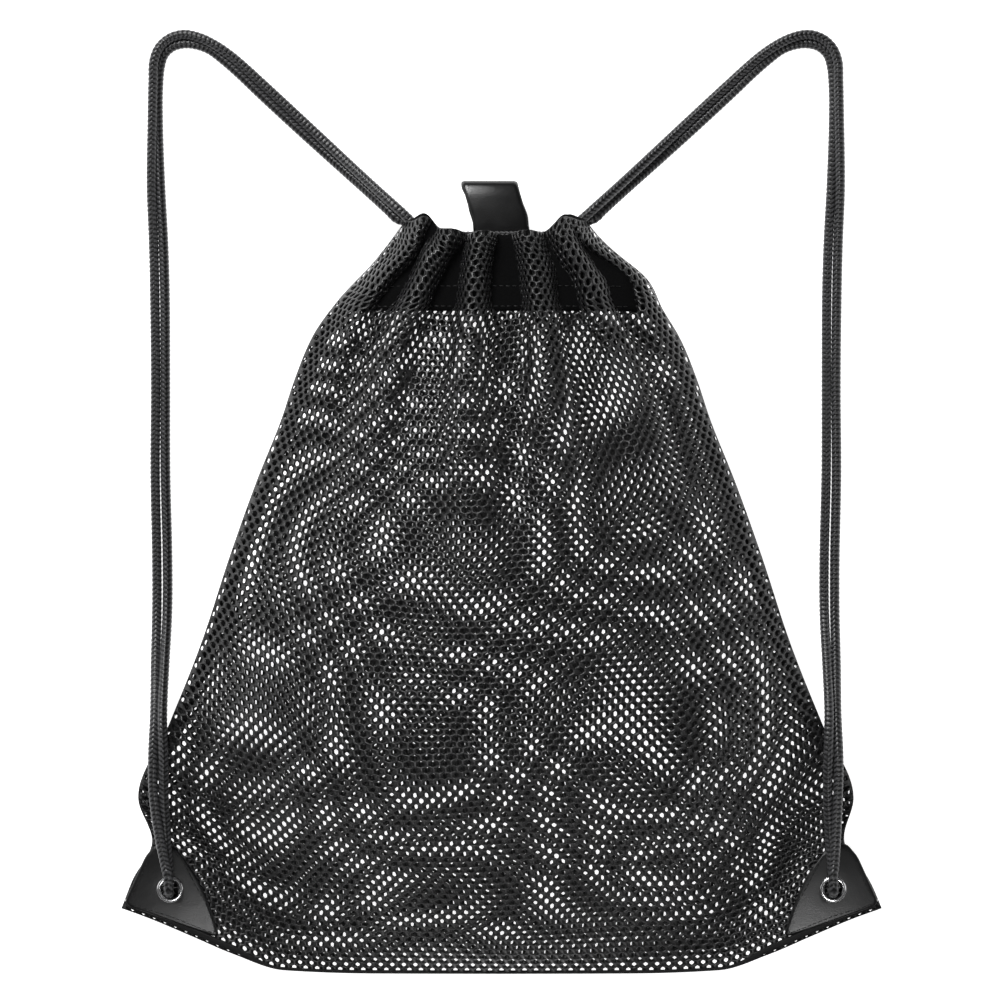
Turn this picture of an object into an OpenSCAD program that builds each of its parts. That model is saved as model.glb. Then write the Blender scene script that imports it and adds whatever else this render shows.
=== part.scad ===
// Mesh drawstring ball bag, lying on its back.
// Millimetres. +X to the bag's right, +Y towards the mouth, +Z out of the front panel.
// The origin is the centre of the bag's footprint, on the surface that it lies on.

/* [Bag] */
// Distance between the tips of the two bottom corners
corner_span = 396; // [390:1:402]
// Distance along Y from the corner tips to the ends of the mouth
side_length = 358; // [352:1:364]
// How far the bottom edge reaches past the corner tips at its middle
bottom_sag = 34; // [28:1:36]
// How far the mouth's edge dips at its middle
mouth_dip = 8; // [4:1:10]
// Height of the side seams above the surface at mid length
seam_h = 26; // [24:1:28]
// Height of the front panel's crown above the side seams
front_rise = 52; // [44:1:54]
// Thickness of a mesh panel
panel_t = 1; // [0.8:0.1:1.2]
// How far the filled bag leans to its left, above its corners
lean = 3; // [0:0.5:4]

/* [Corners] */
// Height of the flat corner ears above the surface
ear_h = 16; // [15.5:0.1:16.5]
// Thickness of the leather-look corner patches
patch_t = 1; // [0.8:0.1:1.2]
// Distance of the eyelets from the middle of the bag
eyelet_x = 172.5; // [171:0.5:174]
// Bore radius of the eyelets
eyelet_r = 4.5; // [4.3:0.1:4.6]
// Outer radius of the eyelets' flanges
flange_r = 7; // [6.5:0.1:7.2]

/* [Drawcords] */
// Diameter of the braided cord
cord_d = 4.8; // [4.6:0.1:4.8]
// Diameter of the cord where it is squeezed in an eyelet
squeezed_d = 4; // [3.8:0.1:4.2]
// Half the width of the ring that the cords make in the mouth's channel
ring_a = 39; // [38.8:0.1:39.4]
// Half the height of that ring
ring_b = 12; // [11.8:0.1:12.2]

/* [Hang loop] */
// Width of the strip
loop_w = 30; // [26:1:32]
// Thickness of the strip
loop_t = 1.4; // [1.2:0.1:1.6]
// Length of the folded loop past its seam
loop_len = 20.4; // [18:0.2:21]

/* [Hidden] */
$fn = 48;

tip_x = corner_span / 2;
tip_y = -172;
mouth_y = tip_y + side_length;
neck_h = 20;            // height of the side seams at the mouth
seam_gap = 0.2;         // half the gap between the two panels' rims
eyelet_y = -162;
black = [0.05, 0.05, 0.055];
leather_black = [0.09, 0.09, 0.1];
cord_black = [0.07, 0.07, 0.075];
tape_black = [0.03, 0.03, 0.03];
nickel = [0.75, 0.75, 0.77];

// ---- the bag's shape: u runs -1 to 1 across it, v runs 0 to 1 from the bottom edge to the mouth

// Half width, as a share of half the corner span
width_share = [[0, 1], [0.04, 0.97], [0.1, 0.91], [0.16, 0.94], [0.27, 0.854], [0.39, 0.768],
               [0.51, 0.697], [0.62, 0.626], [0.71, 0.561], [0.77, 0.525], [0.83, 0.48],
               [0.885, 0.41], [0.94, 0.318], [1, 0.235]];
// Height of the front panel, as a share of front_rise
front_share = [[0, 0], [0.03, 0.24], [0.07, 0.42], [0.13, 0.62], [0.22, 0.84], [0.36, 1],
               [0.5, 0.97], [0.65, 0.8], [0.8, 0.56], [0.9, 0.42], [1, 0.35]];
// Depth of the back panel, as a share of the seam's height
back_share = [[0, 0], [0.03, 0.45], [0.08, 0.8], [0.15, 1], [0.85, 1], [1, 0.9]];
// Height of the side seam, as a share of the way from ear_h to seam_h
seam_share = [[0, 0], [0.13, 0], [0.3, 1], [0.7, 1], [1, (neck_h - ear_h) / (seam_h - ear_h)]];

ear_u = 0.27;           // the ears' reach along the bottom edge, in u
ear_v = 0.115;          // and up the side seam, in v

function mix(a, b, t) = a + (b - a) * t;
function smooth(t) = let (c = min(1, max(0, t))) c * c * (3 - 2 * c);
function half_width(v) = tip_x * lookup(v, width_share);
function edge_y(u, v) = mix(tip_y - bottom_sag * (1 - pow(abs(u), 4)),
                            mouth_y - mouth_dip * (1 - pow(abs(u), 3)), v);
function seam_z(v) = mix(ear_h, seam_h, lookup(v, seam_share));
// 0 on the ears, 1 where the two panels are free of them
function freed(u, v) = smooth(((1 - abs(u)) / ear_u + v / ear_v - 0.95) / 3);
function lean_x(y) = -lean * smooth((y + 170) / 60);
function crown(u, p, q) = pow(max(0, 1 - pow(abs(u), p)), q);
// the front panel stands up steeper from the seams at the mouth, where the cords come out
function at_mouth(v) = smooth((v - 0.82) / 0.14);
function front_z(u, v) = seam_z(v) + seam_gap
    + freed(u, v) * front_rise * lookup(v, front_share)
    * crown(u, mix(2.2, 4, at_mouth(v)), mix(0.85, 0.55, at_mouth(v)));
// the back panel's depth is cut off flat where it rests on the surface
function back_z(u, v) = max(panel_t, seam_z(v) - seam_gap
    - 1.04 * freed(u, v) * (seam_z(v) - seam_gap - panel_t) * lookup(v, back_share) * crown(u, 5, 0.6));
// the panel thins to an edge at the side seams and the bottom
function skin(u, v) = panel_t * max(0.2, min(1, 14 * (1 - abs(u))) * min(1, 30 * v));

columns = 22;
rows = 20;
us = [for (i = [0 : columns]) sin(90 * (2 * i / columns - 1))];
vs = [for (j = [0 : rows]) pow(j / rows, 1.4)];

// side is 1 for the front panel and -1 for the back; out is 1 for its outer face and 0 for its inner one
function panel_point(side, out, u, v) =
    let (z = side > 0 ? front_z(u, v) : back_z(u, v), y = edge_y(u, v) + panel_t * (1 - out) * (1 - v))
    [u * (half_width(v) - panel_t * (1 - out)) + lean_x(y), y, z + side * out * skin(u, v)];

// the band of a panel between two rows of its grid
module panel(side, first, last) {
    across = columns + 1;
    bands = last - first;
    face_n = across * (bands + 1);
    points = [for (out = [0, 1]) for (j = [first : last]) for (u = us) panel_point(side, out, u, vs[j])];
    function at(out, j, i) = out * face_n + j * across + i;
    function quad(a, b, c, d) = side > 0 ? [[a, b, c], [a, c, d]] : [[c, b, a], [d, c, a]];
    faces = [
        for (j = [0 : bands - 1]) for (i = [0 : columns - 1]) each concat(
            quad(at(1, j, i), at(1, j + 1, i), at(1, j + 1, i + 1), at(1, j, i + 1)),
            quad(at(0, j, i), at(0, j, i + 1), at(0, j + 1, i + 1), at(0, j + 1, i))),
        for (i = [0 : columns - 1]) each concat(
            quad(at(0, 0, i), at(1, 0, i), at(1, 0, i + 1), at(0, 0, i + 1)),
            quad(at(1, bands, i), at(0, bands, i), at(0, bands, i + 1), at(1, bands, i + 1))),
        for (j = [0 : bands - 1]) each concat(
            quad(at(0, j + 1, 0), at(1, j + 1, 0), at(1, j, 0), at(0, j, 0)),
            quad(at(0, j, columns), at(1, j, columns), at(1, j + 1, columns), at(0, j + 1, columns)))
    ];
    polyhedron(points, faces);
}

// the panels are punched for the eyelets' barrels
module punched() {
    difference() {
        children();
        for (s = [-1, 1]) translate([s * eyelet_x, eyelet_y, 0]) cylinder(r = eyelet_r + 0.9, h = 40);
    }
}

// each panel is one piece of mesh, divided here into bands that meet edge to edge
front_cuts = [0, 8, 15, rows];
back_cuts = [0, 10, rows];
module front_panel(k) { color(black) punched() panel(1, front_cuts[k], front_cuts[k + 1]); }
module back_panel(k) { color(black) punched() panel(-1, back_cuts[k], back_cuts[k + 1]); }

// ---- a tube or strip swept along a route, from rings of points

function along(p, i) =
    let (a = p[max(0, i - 1)], b = p[min(len(p) - 1, i + 1)]) (b - a) / norm(b - a);
function side_of(d) = let (s = cross(d, [0, 0, 1])) norm(s) > 0.01 ? s / norm(s) : [1, 0, 0];

module sweep(route, wide, high, sides) {
    n = len(route);
    points = [for (i = [0 : n - 1])
        let (d = along(route, i), s = side_of(d), t = cross(s, d))
        for (k = [0 : sides - 1])
            let (a = 360 * k / sides) route[i] + s * (wide / 2 * cos(a)) + t * (high / 2 * sin(a))];
    faces = concat(
        [[for (k = [0 : sides - 1]) k]],
        [for (i = [0 : n - 2]) for (k = [0 : sides - 1]) let (m = (k + 1) % sides) each
            [[i * sides + k, (i + 1) * sides + k, (i + 1) * sides + m],
             [i * sides + k, (i + 1) * sides + m, i * sides + m]]],
        [[for (k = [sides - 1 : -1 : 0]) (n - 1) * sides + k]]);
    polyhedron(points, faces);
}

// ---- seams

tape_w = 6;             // width of the folded seam tape
tape_t = 1.6;           // its thickness
side_inset = 6;         // the tape's middle, inside the side seam
module side_tape(s) {
    route = [for (v = [0.2 : 0.06 : 0.92])
        [s * (half_width(v) - side_inset) + lean_x(edge_y(1, v)), edge_y(1, v), seam_z(v)]];
    color(tape_black) sweep(route, tape_w, tape_t, 8);
}

module bottom_seam_tape() {
    route = [for (x = [-100 : 20 : 100]) [x, edge_y(x / half_width(0.02), 0) + 7, ear_h]];
    color(tape_black) sweep(route, tape_w, tape_t, 8);
}

// ---- the drawcord channel at the mouth

channel_t = 0.8;        // thickness of the solid tape that lines the channel
channel_clear = 0.6;    // between that tape and the cords
channel_y0 = 146;
front_y1 = mouth_y - mouth_dip;
back_y1 = 184;
lining_a = ring_a - cord_d / 2 - channel_clear;
lining_b = ring_b - cord_d / 2 - channel_clear;
function oval(a, b, angle) = [a * cos(angle), b * sin(angle)];

// half of an oval sleeve, open along the two side seams
module lining(s, y1) {
    shut = 12;          // degrees left open at each end
    angles = [for (k = [0 : 24]) mix(shut, 180 - shut, k / 24)];
    color(tape_black)
    translate([-lean, y1, neck_h]) rotate([90, 0, 0])
    linear_extrude(y1 - channel_y0)
    polygon(concat(
        [for (a = angles) oval(lining_a, s * lining_b, a)],
        [for (k = [24 : -1 : 0]) oval(lining_a - channel_t, s * (lining_b - channel_t), angles[k])]));
}
module front_channel_tape() { lining(1, front_y1); }
module back_channel_tape() { lining(-1, back_y1); }
// height of the lining's inner face above or below the neck's middle plane
function lining_in(x) = (lining_b - channel_t) * sqrt(1 - pow(x / (lining_a - channel_t), 2));

stitch_d = 0.7;
module stitch(length) {
    rotate([0, 90, 0]) cylinder(d = stitch_d, h = length, center = true, $fn = 16);
}

// two rows of thread inside the lining, below the cords and clear of the hang loop's ends
module channel_stitches() {
    color(cord_black)
    for (s = [-1, 1]) for (k = [-6 : 6]) for (y = [channel_y0 + 3, channel_y0 + 14])
        if (s > 0 || abs(4 * k) > loop_w / 2 + 2)
        translate([4 * k - lean, y, neck_h + s * (lining_in(4 * k) - stitch_d / 2 - 0.4)]) stitch(2.6);
}

module side_stitches() {
    color(cord_black)
    for (s = [-1, 1]) for (v = [0.24 : 0.04 : 0.88])
        translate([s * (half_width(v) - side_inset) + lean_x(edge_y(1, v)), edge_y(1, v),
                   seam_z(v) + tape_t / 2 + 0.5])
        rotate([0, 0, 90]) stitch(3.4);
}

// ---- corner patches, one on each face of an ear

patch_low = [-139.5, -192.5];    // the patch's inner end, on the bottom edge
patch_high = [-179.5, -138];     // its upper end, on the side seam
patch_z = panel_t + 0.5;         // its inner face, from the ear's middle plane

module patch_shape() {
    inset = 1.5;
    polygon([[-tip_x + inset, tip_y + inset],
             patch_high + [inset, 0],
             [-168, -150], [-160, -163], [-149, -178],
             patch_low + [0, inset],
             [-164, -186]]);
}

module corner_patch(mirrored, face) {
    color(leather_black)
    mirror([mirrored, 0, 0])
    translate([0, 0, face > 0 ? ear_h + patch_z : ear_h - patch_z - patch_t])
    linear_extrude(patch_t)
    difference() {
        patch_shape();
        translate([-eyelet_x, eyelet_y]) circle(r = eyelet_r + 0.9);
    }
}

// a row of thread along both long edges of the front patch
module corner_stitches(mirrored) {
    rows_at = [[[-176, -145], [-147, -185]], [[-191, -172.5], [-150, -187.5]]];
    n = 9;
    color(cord_black)
    mirror([mirrored, 0, 0])
    for (row = rows_at) for (k = [0 : n])
        let (d = row[1] - row[0], p = row[0] + d * k / n)
        if (norm(p - [-eyelet_x, eyelet_y]) > flange_r + 2.5)
        translate([p.x, p.y, ear_h + patch_z + patch_t + stitch_d / 2 + 0.05])
        rotate([0, 0, atan2(d.y, d.x)]) stitch(2.8);
}

// ---- eyelets: a flanged barrel from the front, rolled over a washer at the back

eyelet_top = ear_h + patch_z + patch_t;
eyelet_back = ear_h - patch_z - patch_t;
module eyelet(mirrored) {
    color(nickel)
    mirror([mirrored, 0, 0]) translate([-eyelet_x, eyelet_y, 0])
    rotate_extrude()
    polygon([[eyelet_r, eyelet_back - 1.2], [eyelet_r + 0.6, eyelet_back - 1.2],
             [eyelet_r + 0.6, eyelet_top + 0.1], [flange_r, eyelet_top + 0.1],
             [flange_r - 0.4, eyelet_top + 0.7], [flange_r - 1.2, eyelet_top + 0.9],
             [eyelet_r + 0.4, eyelet_top + 0.7], [eyelet_r, eyelet_top + 0.2]]);
}
module eyelet_washer(mirrored) {
    color(nickel)
    mirror([mirrored, 0, 0]) translate([-eyelet_x, eyelet_y, eyelet_back - 0.9])
    difference() {
        cylinder(r = flange_r, h = 0.8);
        translate([0, 0, -1]) cylinder(r = eyelet_r + 0.65, h = 3);
    }
}

// ---- drawcords. Each is one cord: knot, eyelet, shoulder strap, round the channel, strap, eyelet, knot

ring_y = [177, 170];    // where the left cord's ring and the right cord's ring lie

// a route that is given for the left side, on either side, leaned with the bag
function placed(route, side) = [for (p = route) [-side * p.x + lean_x(p.y), p.y, p.z]];

// how each cord leaves its ring, with z from the neck's middle plane; the right one clears the left one's bend
left_exit = [[-43.2, 184.5, 2.6], [-41.2, 182, 4.4], [-38, 179.6, 7.4], [-33, 177.6, 10.8]];
right_exit = [[-43.4, 184.5, 2.6], [-43.8, 181.5, 3.2], [-43.9, 177, 4.6], [-41.5, 172.5, 7.2], [-36, 170.4, 10],
              [-31, 170, 11.6]];

module channel_cord(side) {
    y = side < 0 ? ring_y[0] : ring_y[1];
    exit = side < 0 ? left_exit : right_exit;
    far = ring_a - ring_b;
    route = concat(
        [for (p = exit) p + [0, 0, neck_h]],
        [for (x = [-far : 9 : far - 9]) [x, y, neck_h + ring_b]],
        [for (a = [90 : -15 : -90]) [far + ring_b * cos(a), y, neck_h + ring_b * sin(a)]],
        [for (x = [far - 9 : -9 : -far]) [x, y, neck_h - ring_b]],
        [for (k = [len(exit) - 1 : -1 : 0]) [exit[k].x, exit[k].y, neck_h - exit[k].z]]);
    color(cord_black) sweep(placed(route, side), cord_d, cord_d, 10);
}

// the two squeezed ends through the eyelet, an overhand knot, and its two tails
knot_r = 5.9;
module knot(mirrored) {
    color(cord_black)
    mirror([mirrored, 0, 0]) translate([-eyelet_x, eyelet_y, 0]) {
        for (s = [-1, 1]) translate([0, s * squeezed_d * 0.53, knot_r + 1])
            cylinder(d = squeezed_d, h = eyelet_top + 3 - knot_r);
        translate([0, 0, knot_r + 0.1]) sphere(r = knot_r);
        for (turn = [62, 95]) translate([0, 0, cord_d / 2]) rotate([0, 90, turn])
            cylinder(d = cord_d - 0.6, h = 24);
    }
}

// The two strands of a strap, from the mouth to the eyelet, as the left strap has them before it leans
strap_upper = [[-48.5, 190.2, 22.4], [-53, 194.4, 21.6], [-62.5, 203.2, 17.5], [-73.5, 213.4, 12],
               [-85.5, 224.5, 7.5], [-101.5, 239.3, 5], [-120.5, 256.9, 4.8], [-132.5, 267.8, 5.1],
               [-138.5, 272.8, 5.5], [-146, 278, 6.1], [-154.5, 282.2, 6], [-163, 284, 5.4],
               [-170.5, 282, 5.5], [-176, 277, 6], [-178.7, 270, 6.3], [-179.5, 260, 6.3],
               [-180, 240, 6], [-180.1, 205, 4.8], [-179.1, 175, 3.2], [-178.5, 148, 2.4],
               [-178, 100, 2.4], [-178.3, 55, 2.4], [-177.7, 10, 2.4], [-177.6, -18, 4.4],
               [-178.2, -45, 11], [-178.5, -70, 20], [-178.3, -92, 26.2], [-177.6, -112, 25.8],
               [-175.7, -134, 26.5], [-173.5, -149, 27.6], [-172.5, -156, 28.1]];
strap_lower = [[-51.5, 186.8, 17.6], [-56, 191, 16.5], [-65.5, 199.8, 12], [-76.5, 210, 7],
               [-88.5, 221.2, 3.4], [-104.5, 235.9, 2.4], [-123.5, 253.5, 2.4], [-134.5, 264, 2.4],
               [-142.5, 271, 2.4], [-150, 276.5, 2.4], [-157, 279, 2.4], [-163, 279.5, 2.4],
               [-169, 278, 2.4], [-173.5, 274, 2.4], [-175.6, 268, 2.4], [-176.4, 255, 2.4],
               [-176.3, 235, 2.4], [-175.6, 205, 2.4], [-174, 175, 2.4], [-173.2, 148, 2.4],
               [-173, 100, 2.4], [-172.9, 55, 2.4], [-171.6, 10, 2.4], [-171.5, -18, 5.2],
               [-171.9, -45, 14.5], [-171.7, -70, 26.2], [-172, -92, 28], [-172.3, -112, 25.2],
               [-172.4, -134, 21.4], [-172.5, -149, 22.4], [-172.5, -156, 22.8]];
module strap(side, route) {
    color(cord_black) sweep(placed(route, side), cord_d, cord_d, 10);
}

// ---- the hang loop: a folded strip sewn into the back of the channel

loop_y = 186;           // where it leaves its seam
loop_gap = 9;           // inside height of the fold
base_len = 34;          // length of its sewn ends
base_z = neck_h - lining_in(loop_w / 2) + 0.2;
loop_z = base_z + loop_t;
module hang_loop() {
    r = loop_gap / 2 + loop_t;
    far = loop_len - r;
    color(leather_black)
    translate([-lean - loop_w / 2, loop_y, loop_z]) rotate([90, 0, 90])
    linear_extrude(loop_w)
    difference() {
        union() {
            circle(r = loop_t);
            translate([far, 0]) circle(r = r);
            polygon([[0, -loop_t], [far, -r], [far, r], [0, loop_t]]);
        }
        translate([far, 0]) circle(r = r - loop_t);
        polygon([[1, 0], [far, loop_t - r], [far, r - loop_t]]);
    }
}

// the strip's two sewn ends, lying on the back lining
module hang_loop_base() {
    color(leather_black)
    translate([-lean - loop_w / 2, loop_y - loop_t - 0.3 - base_len, base_z])
    cube([loop_w, base_len, 2 * loop_t]);
}
module hang_loop_stitches() {
    color(cord_black)
    for (y = [-29, -17]) for (k = [-4 : 4])
        translate([3 * k - lean, loop_y + y, base_z + 2 * loop_t + stitch_d / 2 + 0.05]) stitch(2);
}

front_panel(0);  // front_panel_lower
front_panel(1);  // front_panel_middle
front_panel(2);  // front_panel_upper
back_panel(0);  // back_panel_lower
back_panel(1);  // back_panel_upper
side_tape(-1);  // left_side_tape
side_tape(1);  // right_side_tape
bottom_seam_tape();
front_channel_tape();
back_channel_tape();
channel_stitches();
side_stitches();
corner_patch(0, 1);  // left_corner_front
corner_patch(0, -1);  // left_corner_back
corner_patch(1, 1);  // right_corner_front
corner_patch(1, -1);  // right_corner_back
corner_stitches(0);  // left_corner_stitches
corner_stitches(1);  // right_corner_stitches
eyelet(0);  // left_eyelet
eyelet_washer(0);  // left_eyelet_washer
eyelet(1);  // right_eyelet
eyelet_washer(1);  // right_eyelet_washer
channel_cord(-1);  // left_channel_cord
channel_cord(1);  // right_channel_cord
knot(0);  // left_knot
knot(1);  // right_knot
strap(-1, strap_upper);  // left_strap_upper
strap(-1, strap_lower);  // left_strap_lower
strap(1, strap_upper);  // right_strap_upper
strap(1, strap_lower);  // right_strap_lower
hang_loop();
hang_loop_base();
hang_loop_stitches();
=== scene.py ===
"""Looks of a mesh drawstring ball bag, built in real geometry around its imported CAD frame.

The bag lies on its back. Lengths in the named values are in millimetres, and MM turns them into metres.
"""
import math

import bpy
import numpy as np
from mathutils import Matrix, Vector


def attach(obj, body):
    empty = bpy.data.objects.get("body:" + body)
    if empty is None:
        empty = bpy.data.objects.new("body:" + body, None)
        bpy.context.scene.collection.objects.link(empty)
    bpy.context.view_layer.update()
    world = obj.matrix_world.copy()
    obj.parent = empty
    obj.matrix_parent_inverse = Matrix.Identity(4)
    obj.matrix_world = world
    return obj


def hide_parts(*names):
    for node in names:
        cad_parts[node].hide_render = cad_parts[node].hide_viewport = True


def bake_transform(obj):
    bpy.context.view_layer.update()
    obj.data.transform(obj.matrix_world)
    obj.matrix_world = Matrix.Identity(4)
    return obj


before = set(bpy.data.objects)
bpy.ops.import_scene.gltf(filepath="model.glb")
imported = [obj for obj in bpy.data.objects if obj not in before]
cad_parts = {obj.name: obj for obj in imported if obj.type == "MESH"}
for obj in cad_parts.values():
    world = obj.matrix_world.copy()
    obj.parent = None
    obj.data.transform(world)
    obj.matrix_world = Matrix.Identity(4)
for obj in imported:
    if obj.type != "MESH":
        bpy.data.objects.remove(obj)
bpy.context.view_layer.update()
MM = 0.001

# ---- the bag's driving sizes, the same as the CAD model's
TIP_X = 198.0             # half the distance between the corner tips
TIP_Y = -172.0
MOUTH_Y = 186.0
BOTTOM_SAG = 34.0
MOUTH_DIP = 8.0
EAR_Z = 16.0              # height of the flat corner ears
SEAM_Z = 26.0             # height of the side seams at mid length
NECK_Z = 20.0             # and at the mouth
FRONT_RISE = 52.0
LEAN = 3.0
EYELET = (172.5, -162.0)
EYELET_BORE = 4.5
PATCH_TOP = 18.5          # outer face of a front corner patch
PATCH_BACK = 13.5         # outer face of a back one
CORD_D = 5.5              # over the plaits of the braid
SQUEEZED_D = 4.2
LOOP_W = 29.0

# The tables below are (place, value) points of smooth curves


# half width, as a share of TIP_X, from the bottom edge (0) to the mouth (1)
WIDTH = [(0, 1), (0.04, 0.97), (0.1, 0.91), (0.16, 0.94), (0.27, 0.854), (0.39, 0.768), (0.51, 0.697),
         (0.62, 0.626), (0.71, 0.561), (0.77, 0.525), (0.83, 0.48), (0.885, 0.41), (0.94, 0.318), (1, 0.235)]
# how far the bottom edge has dropped, as a share of BOTTOM_SAG, from the middle (0) to a corner (1)
LOWER = [(0, 1), (0.35, 0.995), (0.571, 0.95), (0.706, 0.7), (0.81, 0.44), (0.924, 0.16), (1, 0)]
# height of the front panel over the seams, as a share of FRONT_RISE
FRONT = [(0, 0), (0.03, 0.24), (0.07, 0.42), (0.13, 0.62), (0.22, 0.84), (0.36, 1), (0.5, 0.97),
         (0.65, 0.8), (0.8, 0.56), (0.9, 0.42), (1, 0.35)]
# depth of the back panel under the seams, as a share of their height
BACK = [(0, 0), (0.03, 0.45), (0.08, 0.8), (0.15, 1), (0.85, 1), (1, 0.9)]
SEAM = [(0, 0), (0.13, 0), (0.3, 1), (0.7, 1), (1, (NECK_Z - EAR_Z) / (SEAM_Z - EAR_Z))]


# ---- small helpers

def smooth(t):
    t = np.clip(t, 0, 1)
    return t * t * (3 - 2 * t)


def curve(points, x):
    """A smooth line through (x, value) points that never overshoots them."""
    xs, ys = np.array(sorted(points), float).T
    x = np.clip(x, xs[0], xs[-1])
    step = np.diff(xs)
    slope = np.diff(ys) / step
    m = np.concatenate([[slope[0]], np.zeros(len(xs) - 2), [slope[-1]]])
    same_way = slope[:-1] * slope[1:] > 0
    m[1:-1][same_way] = 2 * (slope[:-1] * slope[1:])[same_way] / (slope[:-1] + slope[1:])[same_way]
    i = np.clip(np.searchsorted(xs, x) - 1, 0, len(step) - 1)
    t = (x - xs[i]) / step[i]
    return (ys[i] * (1 + 2 * t) * (1 - t) ** 2 + ys[i + 1] * t * t * (3 - 2 * t)
            + step[i] * (m[i] * t * (1 - t) ** 2 - m[i + 1] * t * t * (1 - t)))


def lean_x(y):
    return -LEAN * smooth((np.asarray(y) + 170) / 60)


def unit(v):
    return v / np.maximum(np.linalg.norm(v, axis=-1, keepdims=True), 1e-12)


def add_mesh(name, points, faces, body, material):
    """A new piece from points in millimetres and a list or array of faces, riding on a body."""
    mesh = bpy.data.meshes.new(name)
    mesh.from_pydata(np.asarray(points, float) * MM, [], [tuple(int(i) for i in f) for f in faces])
    mesh.validate()
    mesh.update()
    mesh.shade_smooth()
    mesh.materials.append(material)
    piece = bpy.data.objects.new(name, mesh)
    bpy.context.scene.collection.objects.link(piece)
    if body:
        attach(piece, body)
    return piece


def mark(piece, name, values):
    """Keeps a number from 0 to 1 at each of a piece's points, for its material to read."""
    attribute = piece.data.attributes.new(name, "FLOAT", "POINT")
    attribute.data.foreach_set("value", np.asarray(values, np.float32))


def joined(parts):
    """Several (points, faces) as one."""
    points, faces, base = [], [], 0
    for p, f in parts:
        points.append(np.asarray(p, float))
        faces += [tuple(i + base for i in face) for face in f]
        base += len(p)
    return np.vstack(points), faces


# ---- materials

def new_material(name, color, roughness, **sockets):
    material = bpy.data.materials.new(name)
    material.use_nodes = True
    shader = material.node_tree.nodes["Principled BSDF"]
    shader.inputs["Base Color"].default_value = (*color, 1)
    shader.inputs["Roughness"].default_value = roughness
    for socket, value in sockets.items():
        shader.inputs[socket.replace("_", " ")].default_value = value
    return material, material.node_tree, shader


def node(tree, kind, **values):
    made = tree.nodes.new(kind)
    for name, value in values.items():
        if name in made.inputs:
            made.inputs[name].default_value = value
        else:
            setattr(made, name, value)
    return made


def ramp(tree, source, low, high, color_low, color_high):
    """Colours a number: color_low at low, color_high at high."""
    made = tree.nodes.new("ShaderNodeValToRGB")
    made.color_ramp.elements[0].position = low
    made.color_ramp.elements[1].position = high
    made.color_ramp.elements[0].color = (*color_low, 1)
    made.color_ramp.elements[1].color = (*color_high, 1)
    tree.links.new(source, made.inputs["Fac"])
    return made.outputs["Color"]


def bump(tree, shader, height, distance, strength=1.0, after=None):
    made = node(tree, "ShaderNodeBump", Strength=strength, Distance=distance)
    tree.links.new(height, made.inputs["Height"])
    if after:
        tree.links.new(after, made.inputs["Normal"])
    tree.links.new(made.outputs["Normal"], shader.inputs["Normal"])
    return made.outputs["Normal"]


def noise(tree, scale, detail=2.0, stretch=(1, 1, 1)):
    place = node(tree, "ShaderNodeTexCoord")
    scaled = node(tree, "ShaderNodeMapping")
    scaled.inputs["Scale"].default_value = stretch
    made = node(tree, "ShaderNodeTexNoise", Scale=scale, Detail=detail)
    tree.links.new(place.outputs["Object"], scaled.inputs["Vector"])
    tree.links.new(scaled.outputs["Vector"], made.inputs["Vector"])
    return made.outputs["Fac"]


def attribute(tree, name):
    return node(tree, "ShaderNodeAttribute", attribute_name=name).outputs["Fac"]


def painted_yarn_light(tree, shader, span, crown_highlight_color, worn):
    """Painted shade, near black, between the yarns, and a painted highlight in the given crown colour on top
    of them, broken up by a worn pattern.
    """
    # painted light: the near-black low end is painted shade in the hollows, the high end a painted highlight
    # on the crowns
    base = ramp(tree, attribute(tree, "crown"), *span, (0.0008, 0.0008, 0.0009), crown_highlight_color)
    mixed = node(tree, "ShaderNodeMix", data_type="RGBA", blend_type="MULTIPLY")
    mixed.inputs[0].default_value = 1
    tree.links.new(base, mixed.inputs[6])
    tree.links.new(worn, mixed.inputs[7])
    tree.links.new(mixed.outputs[2], shader.inputs["Base Color"])


def mesh_fabric():
    """Knitted polyester: painted shade between the yarns and a painted highlight on the crown of each yarn,
    with its loops as a fine relief.
    """
    material, tree, shader = new_material("mesh_fabric", (0.01, 0.01, 0.011), 0.34, Specular_IOR_Level=0.6,
                                          Sheen_Weight=0.06, Sheen_Roughness=0.4)
    shader.inputs["Sheen Tint"].default_value = (0.6, 0.6, 0.62, 1)
    # the crown colour below is a painted highlight on the yarns' tops, over painted shade at the holes' rims
    painted_yarn_light(tree, shader, (0.35, 1.0), (0.014, 0.014, 0.0147),
                  ramp(tree, noise(tree, 900, 3), 0.3, 0.7, (0.55, 0.55, 0.56), (1, 1, 1)))
    bump(tree, shader, noise(tree, 2600, 1, (1, 0.35, 1)), 0.00015, 0.7)
    return material


def braid():
    """Braided cord: painted shade between its plaits and a painted highlight on their crowns, with fine
    filaments along them.
    """
    material, tree, shader = new_material("braided_cord", (0.01, 0.01, 0.011), 0.32, Sheen_Weight=0.05,
                                          Specular_IOR_Level=0.4)
    # the crown colour below is a painted highlight on the plaits' tops, over painted shade in the grooves
    painted_yarn_light(tree, shader, (0.4, 0.97), (0.1, 0.1, 0.105),
                  ramp(tree, noise(tree, 1500, 2), 0.3, 0.75, (0.45, 0.45, 0.46), (1, 1, 1)))
    bump(tree, shader, noise(tree, 3200, 1), 0.0001, 0.4)
    return material


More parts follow.
